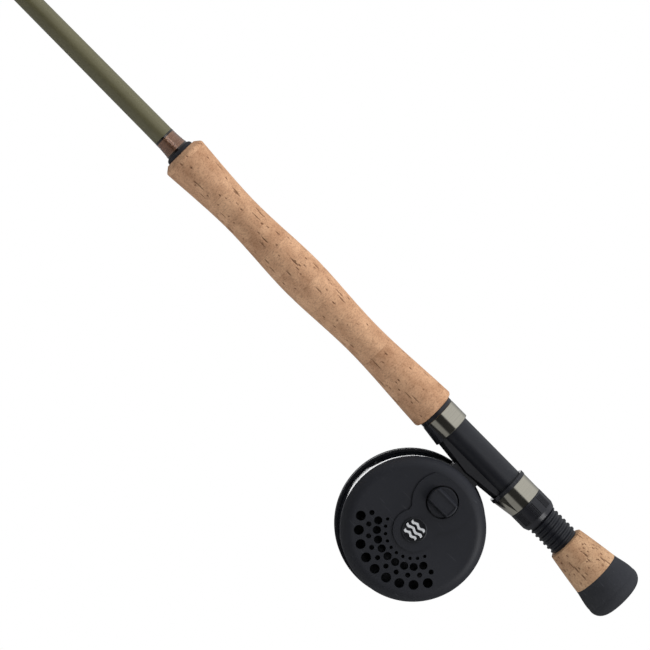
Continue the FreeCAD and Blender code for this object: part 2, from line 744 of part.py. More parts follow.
def make_lock_nut():
    """Nut with fine lengthwise lines in groups, and a turn and a half of inner rib that runs in the thread."""
    bore_radius = thread_crest_radius + thread_fit
    chamfer = 1.3
    body = lathe_rod([
        (nut_front_x, bore_radius), (nut_front_x, nut_radius - 0.2), (nut_front_x - 0.2, nut_radius),
        (nut_end_x + chamfer * 2, nut_radius), (nut_end_x + 0.2, nut_radius - chamfer * 0.75),
        (nut_end_x, bore_radius)])
    line_radius = 0.28
    reach = nut_radius + line_radius - nut_rib_depth
    grooves = []
    for group in range(nut_rib_count):
        for line in range(nut_rib_lines):
            turn = math.radians(group * 360 / nut_rib_count + (line - (nut_rib_lines - 1) / 2) * 5.2)
            place = Vector(0, reach * math.cos(turn), reach * math.sin(turn))
            grooves.append(bar(place + Vector(nut_end_x + chamfer * 2 + 0.6, 0, 0),
                               place + Vector(nut_front_x - 1.0, 0, 0), line_radius))
    tip_radius = thread_root_radius + thread_fit
    base_radius = bore_radius + thread_sink
    tip_half = thread_pitch * 0.16 - thread_fit
    base_half = tip_half + (base_radius - tip_radius) * 0.55
    groove_x = thread_start_x + thread_pitch / 2
    start_x = groove_x + thread_pitch * math.ceil((nut_end_x + 2.0 - groove_x) / thread_pitch)
    rib = helical_rib(bore_radius, [
        (base_radius, -base_half), (tip_radius, -tip_half), (tip_radius, tip_half), (base_radius, base_half)],
        start_x, 1.5)
    return body.cut(grooves).fuse(rib)


def build_seat():
    insert, shell = make_fixed_hood()
    save("fixed_hood_insert", insert)
    save("fixed_hood_shell", shell)
    insert, shell = make_sliding_hood()
    save("sliding_hood_insert", insert)
    save("sliding_hood_shell", shell)
    save("seat_barrel", make_barrel())
    save("lock_nut", make_lock_nut())


def build_fighting_butt():
    save("butt_cork", lathe_rod([
        (barrel_end_x, blank_radius), (barrel_end_x, butt_cork_front_radius - 0.9),
        ((barrel_end_x - 0.25, butt_cork_front_radius - 0.25),
         (barrel_end_x - 0.9, butt_cork_front_radius + 0.1)),
        [(barrel_end_x - butt_cork_length / 2, (butt_cork_front_radius + butt_cork_rear_radius) / 2 + 0.1),
         (cap_front_x, butt_cork_rear_radius)],
        (cap_front_x, blank_radius)]))
    widest_x = butt_end_x + 8.0
    hollow_end_x = sections[0].start
    save("butt_cap", lathe_rod([
        (cap_front_x, blank_radius), (cap_front_x, butt_cork_rear_radius),
        [(cap_front_x - 4.0, butt_cork_rear_radius + 0.85), (widest_x + 2.0, butt_cap_radius - 0.08),
         (widest_x, butt_cap_radius)],
        ((butt_end_x + 2.2, butt_cap_radius - 1.7), (butt_end_x + 0.7, butt_cap_radius - 4.4)),
        (butt_end_x, butt_flat_radius), (butt_end_x, 0), (hollow_end_x, 0), (hollow_end_x, blank_radius)]))


# ---- Reel: fixed pieces ----
def slot_cutter(first_angle, last_angle):
    """Rounded slot through the cage's wall, between two directions."""
    middle_y = (slot_low_y + slot_high_y) / 2
    end_radius = (slot_high_y - slot_low_y) / 2
    inner = cage_inner_radius - 1.5
    outer = reel_plate_radius + 1.5
    ease = math.degrees(end_radius / reel_plate_radius)
    start, stop = first_angle + ease, last_angle - ease
    across, up = polar(1, start)
    face = Part.Face(outline(
        lambda radius, y: reel_centre + Vector(radius * across, y, radius * up),
        [(inner, slot_low_y), (outer, slot_low_y), (outer, slot_high_y), (inner, slot_high_y)]))
    sector = face.revolve(reel_centre, Y_AXIS, -(stop - start))
    ends = []
    for angle in (start, stop):
        across, up = polar(1, angle)
        ray = Vector(across, 0, up)
        ends.append(Part.makeCylinder(end_radius, outer - inner + 0.5,
                                      reel_centre + Vector(0, middle_y, 0) + ray * (inner - 0.25), ray))
    return joined([sector] + ends)


def make_frame():
    bevel_y = (plate_face_y + plate_rim_y) / 2 + 1.1
    bevel_radius = (plate_flat_radius + reel_plate_radius) / 2 + 1.1
    shell = lathe_reel([
        (spindle_stud_radius, plate_inner_y), (spindle_stud_radius, plate_face_y),
        (plate_flat_radius, plate_face_y),
        ((bevel_radius, bevel_y), (reel_plate_radius, plate_rim_y)),
        (reel_plate_radius, cage_front_y + 0.3), (reel_plate_radius - 0.3, cage_front_y),
        (cage_inner_radius, cage_front_y), (cage_inner_radius, plate_rim_y),
        (bevel_inner_radius, plate_inner_y)])
    trim = tube_reel(0, plate_flat_radius + 0.3, plate_inner_y + 1, raised_y)
    hub = tube_reel(spindle_stud_radius, hub_boss_radius, plate_face_y - 0.5, raised_y)
    pad = tube_reel(0, knob_pad_radius, plate_face_y - 0.5, raised_y, up=knob_offset)
    neck = prism_reel([
        (-neck_half_width, 0), (-neck_half_width - neck_flare, knob_offset * 0.75),
        (neck_half_width + neck_flare, knob_offset * 0.75), (neck_half_width, 0)], plate_face_y - 0.5, raised_y)
    bore = tube_reel(0, spindle_stud_radius, 0, raised_y + 1)
    raised = joined([hub, pad, neck]).common(trim)
    frame = joined([shell, raised])
    cuts = [bore]
    cuts.append(tube_reel(0, nut_room_radius, knob_recess_floor, raised_y + 1))
    cuts.append(tube_reel(0, knob_recess_radius, knob_recess_floor, raised_y + 1, up=knob_offset))
    cuts.append(tube_reel(0, drag_screw_radius + run_fit, plate_inner_y - 1, raised_y, up=knob_offset))
    for across in bracket_screw_places():
        screw_bore = bracket_screw_radius + body_gap
        cuts.append(tube_reel(0, screw_bore, plate_inner_y - 1, plate_inner_y + 1.6, across,
                              bracket_wall_up + bracket_wall / 2))
    for inset, hole_radius, count, first in hole_rings:
        for index in range(count):
            across, up = polar(plate_flat_radius - inset, first + index * hole_step - 90)
            cuts.append(tube_reel(0, hole_radius, plate_inner_y - 1, plate_face_y + 1, across, up))
    top = 90 - foot_wall_angle / 2
    base = 90 - base_wall_angle / 2
    side = pillar_angle / 2
    for first, last in ((side, top), (-base, -side), (180 - top, 180 - side), (180 + side, 180 + base)):
        cuts.append(slot_cutter(first, last))
    for across in foot_screw_places():
        cuts.append(foot_screw(across))
    frame = frame.cut(cuts)
    frame = frame.cut(stem_block(5.0))
    post = tube_reel(0, pawl_post_radius, disc_low_y - 0.9, plate_inner_y + 0.5, pawl_post_across, pawl_post_up)
    return joined([frame, post])


def bracket_screw_places():
    return (-bracket_screw_across, bracket_screw_across)


def foot_screw_places():
    return (-foot_screw_spacing / 2, foot_screw_spacing / 2)


def foot_screw(across):
    """Countersunk screw from inside the cage up into the foot."""
    base = reel_centre + Vector(across, 0, math.sqrt(cage_inner_radius ** 2 - across ** 2) + 0.15)
    head = Part.makeCone(foot_screw_head_radius, foot_screw_radius, 0.9, base, Z_AXIS)
    shank = Part.makeCylinder(foot_screw_radius, 4.2, base, Z_AXIS)
    return joined([head, shank])


def stem_block(rise):
    """Space of the foot's stem above its flat seat on top of the cage."""
    seat = reel_plate_radius - foot_seat_depth
    return block((-foot_stem_half_length, foot_stem_half_length), (-foot_stem_half_width, foot_stem_half_width),
                 (seat, seat + rise), reel_centre)


def make_foot():
    saddle = foot_envelope(0)
    stem = stem_block(foot_seat_depth + 2.0)
    barrel = tube_rod(0, barrel_radius + slide_fit, foot_middle_x - foot_span, foot_middle_x + foot_span)
    foot = joined([saddle, stem]).cut(barrel)
    return foot.cut([foot_screw(across) for across in foot_screw_places()])


def make_spindle():
    return lathe_reel([
        (0, spindle_end_y), (spindle_radius - 0.4, spindle_end_y), (spindle_radius, groove_low_y - 0.1),
        (spindle_radius, groove_low_y), (groove_radius, groove_low_y), (groove_radius, groove_high_y),
        (spindle_radius, groove_high_y), (spindle_radius, plate_inner_y - 0.6),
        (spindle_flange_radius, plate_inner_y - 0.6), (spindle_flange_radius, plate_inner_y),
        (spindle_stud_radius, plate_inner_y), (spindle_stud_radius, raised_y - cap_gap),
        (0, raised_y - cap_gap)])


def hexagon(across_flats, low, high):
    corner = across_flats / 2 / math.cos(math.radians(30))
    return prism_reel([polar(corner, 60 * index) for index in range(6)], low, high)


def build_reel_frame():
    save("reel_frame", make_frame())
    save("reel_foot", make_foot())
    save("foot_screws", Part.makeCompound([foot_screw(across) for across in foot_screw_places()]))
    save("spindle", make_spindle())
    nut = hexagon(nut_across_flats, knob_recess_floor, raised_y - cap_gap)
    save("spindle_nut", nut.cut(tube_reel(0, spindle_stud_radius, 0, raised_y)))
    save("hub_badge", lathe_reel([
        (0, raised_y), (badge_radius, raised_y), (badge_radius, raised_y + 0.25),
        (badge_radius - 0.35, raised_y + 0.6),
        (badge_radius - 0.9, raised_y + 0.6), (badge_radius - 1.1, raised_y + 0.45), (0, raised_y + 0.45)]))


# ---- Reel: drag ----
def make_knob():
    """Disc with a tapered grip bar across it, parallel to the rod."""
    disc = lathe_reel([
        (0, knob_recess_floor + body_gap), (knob_radius, knob_recess_floor + body_gap),
        (knob_radius, knob_disc_top - 0.3),
        (knob_radius - 0.3, knob_disc_top), (0, knob_disc_top)], up=knob_offset)
    half = knob_bar_half_width
    top_half = knob_bar_top_half_width
    edge = 0.5
    wire = outline(lambda up, y: reel_centre + Vector(-knob_radius - 1, y, knob_offset + up), [
        (-half, knob_disc_top - 0.5), (-top_half, knob_bar_top - edge),
        ((-top_half + edge * 0.35, knob_bar_top - edge * 0.25), (-top_half + edge, knob_bar_top)),
        (top_half - edge, knob_bar_top),
        ((top_half - edge * 0.35, knob_bar_top - edge * 0.25), (top_half, knob_bar_top - edge)),
        (half, knob_disc_top - 0.5)])
    grip = Part.Face(wire).extrude(Vector(2 * knob_radius + 2, 0, 0))
    round_off = lathe_reel([
        (0, knob_disc_top - 1), (knob_radius, knob_disc_top - 1), (knob_radius, knob_bar_top - 0.8),
        ((knob_radius - 0.25, knob_bar_top - 0.25), (knob_radius - 0.8, knob_bar_top)), (0, knob_bar_top)],
        up=knob_offset)
    knob = joined([disc, grip.common(round_off)])
    dish = block((-knob_radius + 1.4, knob_radius - 1.4), (knob_bar_top - 0.45, knob_bar_top + 1),
                 (knob_offset - top_half + 1.0, knob_offset + top_half - 1.0), reel_centre)
    stud = tube_reel(0, drag_screw_radius, 0, knob_disc_top - 0.8, up=knob_offset)
    return knob.cut([dish, stud])


def build_drag():
    save("drag_knob", make_knob())
    pad_top = disc_high_y + pad_travel_gap + pad_thickness
    block_top = pad_top + block_thickness
    save("drag_screw", tube_reel(0, drag_screw_radius, pad_top + 0.2, knob_disc_top - 0.8, up=knob_offset))
    save("moving_pad", tube_reel(0, pad_radius, pad_top - pad_thickness, pad_top, up=knob_offset))
    arm_up = disc_hub_radius + 5.5
    pressure = block((-pad_radius - 0.5, pad_radius + 0.5), (pad_top, block_top),
                     (arm_up - 0.5, bracket_wall_up - body_gap), reel_centre)
    save("pressure_block", pressure.cut(tube_reel(0, drag_screw_radius + run_fit, pad_top - 1, block_top + 1,
                                                  up=knob_offset)))
    pad_low = disc_low_y - pad_gap - 1.3
    save("fixed_pad", tube_reel(0, pad_radius, pad_low, disc_low_y - pad_gap, up=knob_offset))
    low = pad_low - bracket_thickness
    wide = bracket_half_width
    wall_range = (bracket_wall_up, bracket_wall_up + bracket_wall)
    arm = block((-wide, wide), (low, pad_low), (arm_up, wall_range[1]), reel_centre)
    wall = block((-wide, wide), (low, plate_inner_y), wall_range, reel_centre)
    tab_half = bracket_screw_across + 1.6
    tab_y = plate_inner_y - 1.2
    tabs = block((-tab_half, tab_half), (tab_y, plate_inner_y), wall_range, reel_centre)
    screws = []
    bores = []
    for across in bracket_screw_places():
        up = bracket_wall_up + bracket_wall / 2
        head = tube_reel(0, 0.85, tab_y - 0.7, tab_y, across, up)
        shank = tube_reel(0, bracket_screw_radius, tab_y - 0.3, plate_inner_y + 1.4, across, up)
        screws.append(joined([head, shank]))
        bores.append(tube_reel(0, bracket_screw_radius, 0, plate_inner_y + 2, across, up))
    save("caliper_bracket", joined([arm, wall, tabs]).cut(bores))
    save("bracket_screws", Part.makeCompound(screws))
    hub_low = disc_low_y - 1.2
    hub_high = plate_inner_y - 0.9
    disc = lathe_reel([
        (clutch_outer_radius, hub_low), (disc_hub_radius, hub_low), (disc_hub_radius, disc_low_y),
        (disc_radius, disc_low_y), (disc_radius, disc_high_y), (disc_hub_radius, disc_high_y),
        (disc_hub_radius, hub_high), (clutch_outer_radius, hub_high)])
    notches = []
    for index in range(disc_teeth):
        angle = -90 + index * 360 / disc_teeth
        notch = prism_reel([(disc_radius - tooth_depth, 0), (disc_radius + 0.5, tooth_half_width * 1.5),
                            (disc_radius + 0.5, -tooth_half_width * 1.5)], disc_low_y - 0.5, disc_high_y + 0.5)
        notch.rotate(reel_centre, Y_AXIS, -angle)
        notches.append(notch)
    save("drag_disc", disc.cut(notches))
    save("clutch_bearing", tube_reel(sleeve_outer_radius + run_fit, clutch_outer_radius, hub_low, hub_high))
    save_pawl()


def save_pawl():
    """Click pawl that lifts off the disc's teeth, and the spring that pushes it back."""
    bore = pawl_post_radius + run_fit
    low, high = disc_low_y, disc_high_y
    arm = prism_reel([
        (pawl_post_across, pawl_post_up - 1.2), (-1.6, pawl_post_up), (-1.6, -disc_radius - 0.9),
        (-0.42, -disc_radius - 0.35),
        (0, -disc_radius + tooth_depth - 0.3), (0.42, -disc_radius - 0.35), (1.8, -disc_radius - 1.3),
        (pawl_post_across, pawl_post_up + 1.6)], low, high)
    hub = tube_reel(0, pawl_hub_radius, low, high, pawl_post_across, pawl_post_up)
    pawl = joined([arm, hub]).cut(tube_reel(0, bore, low - 1, high + 1, pawl_post_across, pawl_post_up))
    save("click_pawl", pawl)
    spring_up = pawl_post_up - 0.45
    spring_length = cage_inner_radius + spring_up - 0.15
    spring_top = reel_centre + Vector(0, (low + high) / 2, spring_up)
    save("click_spring", coil_spring(spring_top, spring_length, click_spring_radius, spring_wire_radius, 4))


# ---- Reel: spool ----

def make_spool():
    """Drum between two flanges, with a palming rim around the frame's front edge and a boss for the latch."""
    rim_radius = reel_plate_radius + body_gap
    rim_outer = rim_radius + rim_wall
    back_radius = cage_inner_radius - 1.0
    drum_inner = drum_radius - drum_wall
    web_y = front_flange_y + 0.4
    groove = 0.25
    rim = [(rim_radius - 0.9, front_y), (rim_radius, front_y - 0.9), (rim_radius, rim_low_y),
           (rim_outer - 0.6, rim_low_y), ((rim_outer - 0.17, rim_low_y + 0.17), (rim_outer, rim_low_y + 0.6))]
    for line_y in (rim_low_y + 1.6, rim_low_y + 2.9, rim_low_y + 4.2):
        rim += [(rim_outer, line_y - groove), (rim_outer - groove, line_y), (rim_outer, line_y + groove)]
    rim += [(rim_outer, rim_high_y - 0.5),
            ((rim_outer - 0.15, rim_high_y - 0.15), (rim_outer - 0.5, rim_high_y)),
            (rim_radius, rim_high_y), (rim_radius, cage_front_y - 0.6), (rim_radius - 0.7, front_flange_y)]
    body = lathe_reel([(bushing_radius, front_y)] + rim + [
        (drum_radius, front_flange_y), (drum_radius, back_flange_y), (back_radius, back_flange_y),
        (back_radius, back_y), (drum_inner, back_y), (drum_inner, web_y), (hub_radius, web_y),
        (hub_radius, hub_end_y), (bushing_radius, hub_end_y)])
    boss = tube_reel(bushing_radius, boss_radius, cover_y, front_y + 0.5)
    cuts = [block((-pocket_half_width, pocket_half_width), (cover_y - 1, pocket_floor_y),
                  (pocket_low_up, boss_radius + 1), reel_centre)]
    cuts.append(hexagon(hex_across_flats + 2 * run_fit, key_low_y - run_fit, hub_end_y + 1))
    for inset, hole_radius, first in port_rings:
        for index in range(port_count):
            if inset == 0 and index in (0, port_count // 2):
                continue
            across, up = polar(crank_radius - inset, crank_angle + first + index * 360 / port_count)
            cuts.append(tube_reel(0, hole_radius, front_y - 1, front_flange_y + 1, across, up))
    for turn in (0, 180):
        across, up = polar(crank_radius, crank_angle + turn)
        cuts.append(tube_reel(0, post_radius, front_y - 1, front_flange_y + 1, across, up))
    for across in (-cover_screw_across, cover_screw_across):
        cuts.append(cover_screw(across))
    return joined([body, boss]).cut(cuts)


def cover_screw(across):
    head = tube_reel(0, 1.4, cover_y - cover_thickness - 0.6, cover_y - cover_thickness, across)
    shank = tube_reel(0, cover_screw_radius, cover_y - cover_thickness - 0.1, cover_y + 2.0, across)
    return joined([head, shank])


def make_latch():
    """Sliding plate with a keyhole: its narrow end sits in the spindle's groove until the tab is pushed in."""
    narrow = groove_radius + 0.1
    plate = block((-pocket_half_width + 0.2, pocket_half_width - 0.2), (latch_low_y, latch_high_y),
                  (latch_low_up, boss_radius - 1.5), reel_centre)
    tab_range = (-latch_tab_half_width, latch_tab_half_width)
    neck = block(tab_range, (latch_low_y, latch_high_y), (boss_radius - 2.0, boss_radius + 1.0), reel_centre)
    tab = block(tab_range, (cover_y + 0.2, latch_high_y), (boss_radius + 0.6, boss_radius + 3.4), reel_centre)
    hole = tube_reel(0, spindle_radius + 0.3, latch_low_y - 1, latch_high_y + 1, up=latch_travel)
    slot = block((-narrow, narrow), (latch_low_y - 1, latch_high_y + 1), (0, latch_travel), reel_centre)
    seat = tube_reel(0, narrow, latch_low_y - 1, latch_high_y + 1)
    return joined([plate, neck, tab]).cut([hole, slot, seat])


def build_spool():
    save("spool", make_spool())
    save("spool_bushings", Part.makeCompound([
        tube_reel(spindle_radius + run_fit, bushing_radius, front_y, front_y + bushing_length),
        tube_reel(spindle_radius + run_fit, bushing_radius, key_low_y - body_gap - bushing_length,
                  key_low_y - body_gap)]))
    sleeve_turn_y = disc_low_y - 1.5
    key = hexagon(hex_across_flats, key_low_y, sleeve_turn_y)
    race = tube_reel(0, sleeve_outer_radius, sleeve_turn_y - 0.1, plate_inner_y - 1.0)
    bore = tube_reel(0, spindle_radius + run_fit, 0, plate_inner_y)
    save("drive_sleeve", joined([key, race]).cut(bore))
    save("spool_latch", make_latch())
    spring_top = reel_centre + Vector(0, (cover_y + pocket_floor_y) / 2, latch_low_up - 0.1)
    save("latch_spring", coil_spring(spring_top, latch_low_up - pocket_low_up - 0.2, latch_spring_radius,
                                     spring_wire_radius, 5))
    cover = lathe_reel([
        (0, cover_y), (boss_radius, cover_y), (boss_radius, cover_y - cover_thickness + 0.3),
        (boss_radius - 0.3, cover_y - cover_thickness), (0, cover_y - cover_thickness)])
    screws = [cover_screw(across) for across in (-cover_screw_across, cover_screw_across)]
    save("latch_cover", cover.cut(screws))
    save("cover_screws", Part.makeCompound(screws))
    build_crank()


def build_crank():
    """Handle on its post, and the counterweight across from it."""
    across, up = polar(crank_radius, crank_angle)
    shoulder_y = front_y - post_shoulder_length
    end_y = shoulder_y - handle_length
    seat_y = end_y + handle_screw_depth
    post = lathe_reel([
        (0, front_flange_y), (post_radius, front_flange_y), (post_radius, front_y),
        (post_shoulder_radius, front_y),
        (post_shoulder_radius, shoulder_y), (post_radius, shoulder_y), (post_radius, seat_y), (0, seat_y)],
        across, up)
    stub = tube_reel(0, 0.9, seat_y - 0.1, seat_y + 5.0, across, up)
    save("handle_post", post.cut(stub))
    save("handle_screw", joined([tube_reel(0, handle_screw_radius, end_y + 0.1, seat_y, across, up), stub]))
    high_y = shoulder_y - body_gap
    recess = handle_screw_radius + 0.4
    bore = post_radius + run_fit
    save("handle_knob", lathe_reel([
        (bore, high_y), (handle_base_radius - 0.6, high_y),
        ((handle_base_radius - 0.18, high_y - 0.18), (handle_base_radius, high_y - 0.6)),
        [(handle_waist_radius, high_y - handle_length * 0.38), (handle_end_radius - 0.1, end_y + 4.2)],
        ((handle_end_radius - 0.1, end_y + 1.6), (handle_end_radius - 1.3, end_y)),
        (recess, end_y), (recess, seat_y + body_gap), (bore, seat_y + body_gap)], across, up))
    across, up = polar(crank_radius, crank_angle + 180)
    low_y = front_y - weight_rise
    save("counterweight", lathe_reel([
        (0, front_flange_y), (post_radius, front_flange_y), (post_radius, front_y), (weight_radius, front_y),
        (weight_radius, low_y + 0.6), (weight_radius - 0.6, low_y), (0, low_y)], across, up))


os.makedirs("parts", exist_ok=True)
build_blank()
build_guides()
build_grip()
build_seat()
build_fighting_butt()
build_reel_frame()
build_drag()
build_spool()
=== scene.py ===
"""Looks of the fly rod and its reel: finishes, detailed pieces, lights and camera.

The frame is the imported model's: origin at the middle of the cork grip, +X to the tip, +Z up, the reel below.
Lengths are in metres and angles in degrees unless a name says otherwise.
"""
import bpy
import json
import math
import random

import numpy
from mathutils import Matrix, Vector


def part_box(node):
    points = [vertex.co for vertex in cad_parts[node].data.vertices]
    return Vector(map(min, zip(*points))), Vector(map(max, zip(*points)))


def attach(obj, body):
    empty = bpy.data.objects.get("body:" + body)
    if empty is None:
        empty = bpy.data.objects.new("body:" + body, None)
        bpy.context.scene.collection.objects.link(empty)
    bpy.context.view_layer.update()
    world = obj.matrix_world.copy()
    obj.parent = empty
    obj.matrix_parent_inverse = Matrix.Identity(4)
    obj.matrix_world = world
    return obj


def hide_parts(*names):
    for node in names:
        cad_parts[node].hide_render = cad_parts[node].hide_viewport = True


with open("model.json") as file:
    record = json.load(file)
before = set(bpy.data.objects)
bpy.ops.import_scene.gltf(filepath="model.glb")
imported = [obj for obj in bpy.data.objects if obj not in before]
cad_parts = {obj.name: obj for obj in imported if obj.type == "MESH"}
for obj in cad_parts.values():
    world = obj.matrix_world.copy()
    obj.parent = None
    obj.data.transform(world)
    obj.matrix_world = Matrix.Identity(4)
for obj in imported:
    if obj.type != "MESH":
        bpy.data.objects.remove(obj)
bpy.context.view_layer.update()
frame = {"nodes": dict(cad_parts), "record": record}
record = frame["record"]
nodes = frame["nodes"]

# ---- Camera ----
picture_width = 0.338          # what the picture's width covers at the rod's axis
camera_lens = 150.0
sensor_width = 36.0
picture_middle = Vector((-0.0218, 0.0, -0.0092))
camera_yaw = 3.5               # turned towards the rod's tip
rod_tilt = 45.37               # the rod runs up to the left at this angle


def make_camera():
    distance = picture_width * camera_lens / sensor_width
    yaw, tilt = math.radians(camera_yaw), math.radians(rod_tilt)
    towards = Vector((math.sin(yaw), math.cos(yaw), 0.0))
    up = Vector((math.sin(tilt), 0.0, math.cos(tilt)))
    right = up.cross(towards).normalized()
    up = towards.cross(right)
    camera = bpy.data.objects.new("camera", bpy.data.cameras.new("camera"))
    bpy.context.scene.collection.objects.link(camera)
    camera.data.lens = camera_lens
    camera.data.sensor_width = sensor_width
    camera.data.clip_start = 0.01
    camera.data.clip_end = 100.0
    turn = Matrix((right, up, towards)).transposed().to_4x4()
    camera.matrix_world = Matrix.Translation(picture_middle + towards * distance) @ turn
    bpy.context.scene.camera = camera


make_camera()

# ---- Sizes of the fine detail ----
cork_ring_length = 0.0127
cork_station = 0.00062         # distance between the lathe cuts that shape the cork
cork_segments = 200
cork_joint_depth = 0.00005
pit_depth = 0.00028
long_pit = ((0.0009, 0.0034), (0.00024, 0.00042))    # range of half its length, and of half its width
round_pit = ((0.0004, 0.0008), (0.0003, 0.0005))
thread_pitch = 0.00024         # winding thread laid side by side
thread_depth = 0.00005
wrap_segments = 96
trim_band = 0.0011             # dark thread at each end of the grip wrap
tape_pitch = 0.0021            # spiral left on the blank by the tape that bound it
crumb_scale = 1400.0           # cork crumbs per metre in the friction pad
badge_segments = 96
badge_rim_width = 0.0006
badge_edge = 0.0003            # the rim's round edge, and how far the ground lies under its top
badge_lean = 0.0002            # the ground's side and the rim's outer edge lean in by this
wave_half_lengths = (0.0044, 0.0052, 0.0040)
wave_gap = 0.0029
wave_width = 0.0014
wave_rise = 0.00045
wave_relief = 0.00022
wave_edge = 0.00006
wave_steps = 48


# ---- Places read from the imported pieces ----
def middle_of(node):
    low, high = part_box(node)
    return [(low[axis] + high[axis]) / 2 for axis in range(3)]


badge_low, badge_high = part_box("hub_badge")
plate_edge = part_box("reel_frame")[1][1]
face_blend = (plate_edge - 0.0062, plate_edge - 0.0050)    # depth over which the cage gives way to the face


# ---- Laying out materials ----
def paint(red, green, blue):
    """Screen colour, 0 to 255, as the linear colour that a shader takes."""
    shades = []
    for value in (red, green, blue):
        share = value / 255
        shades.append(share / 12.92 if share <= 0.04045 else ((share + 0.055) / 1.055) ** 2.4)
    return (*shades, 1.0)


def put(tree, kind, values=None, **settings):
    """One node, with its settings made and its sockets filled or joined."""
    node = tree.nodes.new(kind)
    for name, value in settings.items():
        setattr(node, name, value)
    for name, value in (values or {}).items():
        socket = node.inputs[name]
        if isinstance(value, bpy.types.NodeSocket):
            tree.links.new(value, socket)
        else:
            socket.default_value = value
    return node


def reckon(tree, operation, first, second=0.0):
    return put(tree, "ShaderNodeMath", {0: first, 1: second}, operation=operation).outputs[0]


def blend(tree, share, first, second):
    """Mix of two colours."""
    return put(tree, "ShaderNodeMix", {0: share, 6: first, 7: second}, data_type="RGBA").outputs[2]


def ramp(tree, value, low, high, to_low, to_high):
    """Value carried from one range to another and held at its ends."""
    limits = {"From Min": low, "From Max": high, "To Min": to_low, "To Max": to_high}
    return put(tree, "ShaderNodeMapRange", {"Value": value, **limits}).outputs["Result"]


def weigh(tree, *parts):
    """Sum of two values, each times its share."""
    first, second = [reckon(tree, "MULTIPLY", value, share) for value, share in parts]
    return reckon(tree, "ADD", first, second)


def stretch(tree, vector, scale):
    return put(tree, "ShaderNodeVectorMath", {0: vector, 1: scale}, operation="MULTIPLY").outputs[0]


def object_place(tree):
    return put(tree, "ShaderNodeTexCoord").outputs["Object"]


def noise(tree, place, scale, detail, **more):
    """Noise around one half; a scale of three numbers sets it along each axis."""
    if isinstance(scale, tuple):
        place, scale = stretch(tree, place, scale), 1.0
    sockets = {"Vector": place, "Scale": scale, "Detail": detail, **more}
    return put(tree, "ShaderNodeTexNoise", sockets).outputs[0]


def axes_of(tree, place):
    return put(tree, "ShaderNodeSeparateXYZ", {0: place}).outputs


def new_group(name, inputs, outputs):
    """Shader group with named sockets; returns the tree and its input and output nodes."""
    group = bpy.data.node_groups.new(name, "ShaderNodeTree")
    for label, kind, value in inputs:
        socket = group.interface.new_socket(name=label, in_out="INPUT", socket_type=kind)
        if value is not None:
            socket.default_value = value
    for label, kind in outputs:
        group.interface.new_socket(name=label, in_out="OUTPUT", socket_type=kind)
    return group, group.nodes.new("NodeGroupInput"), group.nodes.new("NodeGroupOutput")


def give(group, end, **results):
    for name, socket in results.items():
        group.links.new(socket, end.inputs[name.replace("_", " ")])


def make_grain_group():
    """Fine even grain, as on a moulding or a bead-blasted face, with a slow drift of tone over it."""
    group, start, end = new_group("fine grain", [
        ("Vector", "NodeSocketVector", None), ("Grain Size", "NodeSocketFloat", 0.0003),
        ("Drift Size", "NodeSocketFloat", 0.02)],
        [("Height", "NodeSocketFloat"), ("Tone", "NodeSocketFloat")])
    place = start.outputs["Vector"]
    fine = noise(group, place, reckon(group, "DIVIDE", 1.0, start.outputs["Grain Size"]), 2.0)
    drift = noise(group, place, reckon(group, "DIVIDE", 1.0, start.outputs["Drift Size"]), 3.0)
    height = ramp(group, fine, 0.3, 0.7, 0.0, 1.0)
    give(group, end, Height=height, Tone=weigh(group, (height, 0.35), (drift, 0.65)))
    return group


def make_marks_group():
    """Marks of handling: soft smudges and a few hair-fine rubs."""
    group, start, end = new_group("handling marks", [
        ("Vector", "NodeSocketVector", None), ("Smudge Size", "NodeSocketFloat", 0.02)],
        [("Smudge", "NodeSocketFloat"), ("Rub", "NodeSocketFloat")])
    place = start.outputs["Vector"]
    scale = reckon(group, "DIVIDE", 1.0, start.outputs["Smudge Size"])
    cloud = noise(group, place, scale, 5.0, Distortion=0.6)
    lines = noise(group, place, (90.0, 900.0, 1500.0), 1.0)
    give(group, end, Smudge=ramp(group, cloud, 0.42, 0.66, 0.0, 1.0),
         Rub=ramp(group, lines, 0.70, 0.76, 0.0, 1.0))
    return group


def make_brush_group():
    """Fine lines left by turning, around the rod's axis."""
    group, start, end = new_group("turned lines", [("Vector", "NodeSocketVector", None)],
                                  [("Height", "NodeSocketFloat"), ("Tone", "NodeSocketFloat")])
    place = start.outputs["Vector"]
    give(group, end, Height=noise(group, place, (9000.0, 60.0, 60.0), 2.0),
         Tone=noise(group, place, (1400.0, 20.0, 20.0), 2.0))
    return group


def make_thread_group():
    """Winding thread laid turn by turn, each turn a little different in tone."""
    group, start, end = new_group("winding thread", [
        ("Vector", "NodeSocketVector", None), ("Pitch", "NodeSocketFloat", thread_pitch)],
        [("Height", "NodeSocketFloat"), ("Tone", "NodeSocketFloat")])
    place = start.outputs["Vector"]
    turn = reckon(group, "DIVIDE", axes_of(group, place)[0], start.outputs["Pitch"])
    crest = reckon(group, "ABSOLUTE", reckon(group, "SINE", reckon(group, "MULTIPLY", turn, math.pi)))
    strand = put(group, "ShaderNodeTexWhiteNoise", {"W": reckon(group, "FLOOR", turn)}, noise_dimensions="1D")
    fibre = noise(group, place, (9000.0, 900.0, 900.0), 2.0)
    give(group, end, Height=crest, Tone=weigh(group, (strand.outputs["Value"], 0.5), (fibre, 0.5)))
    return group


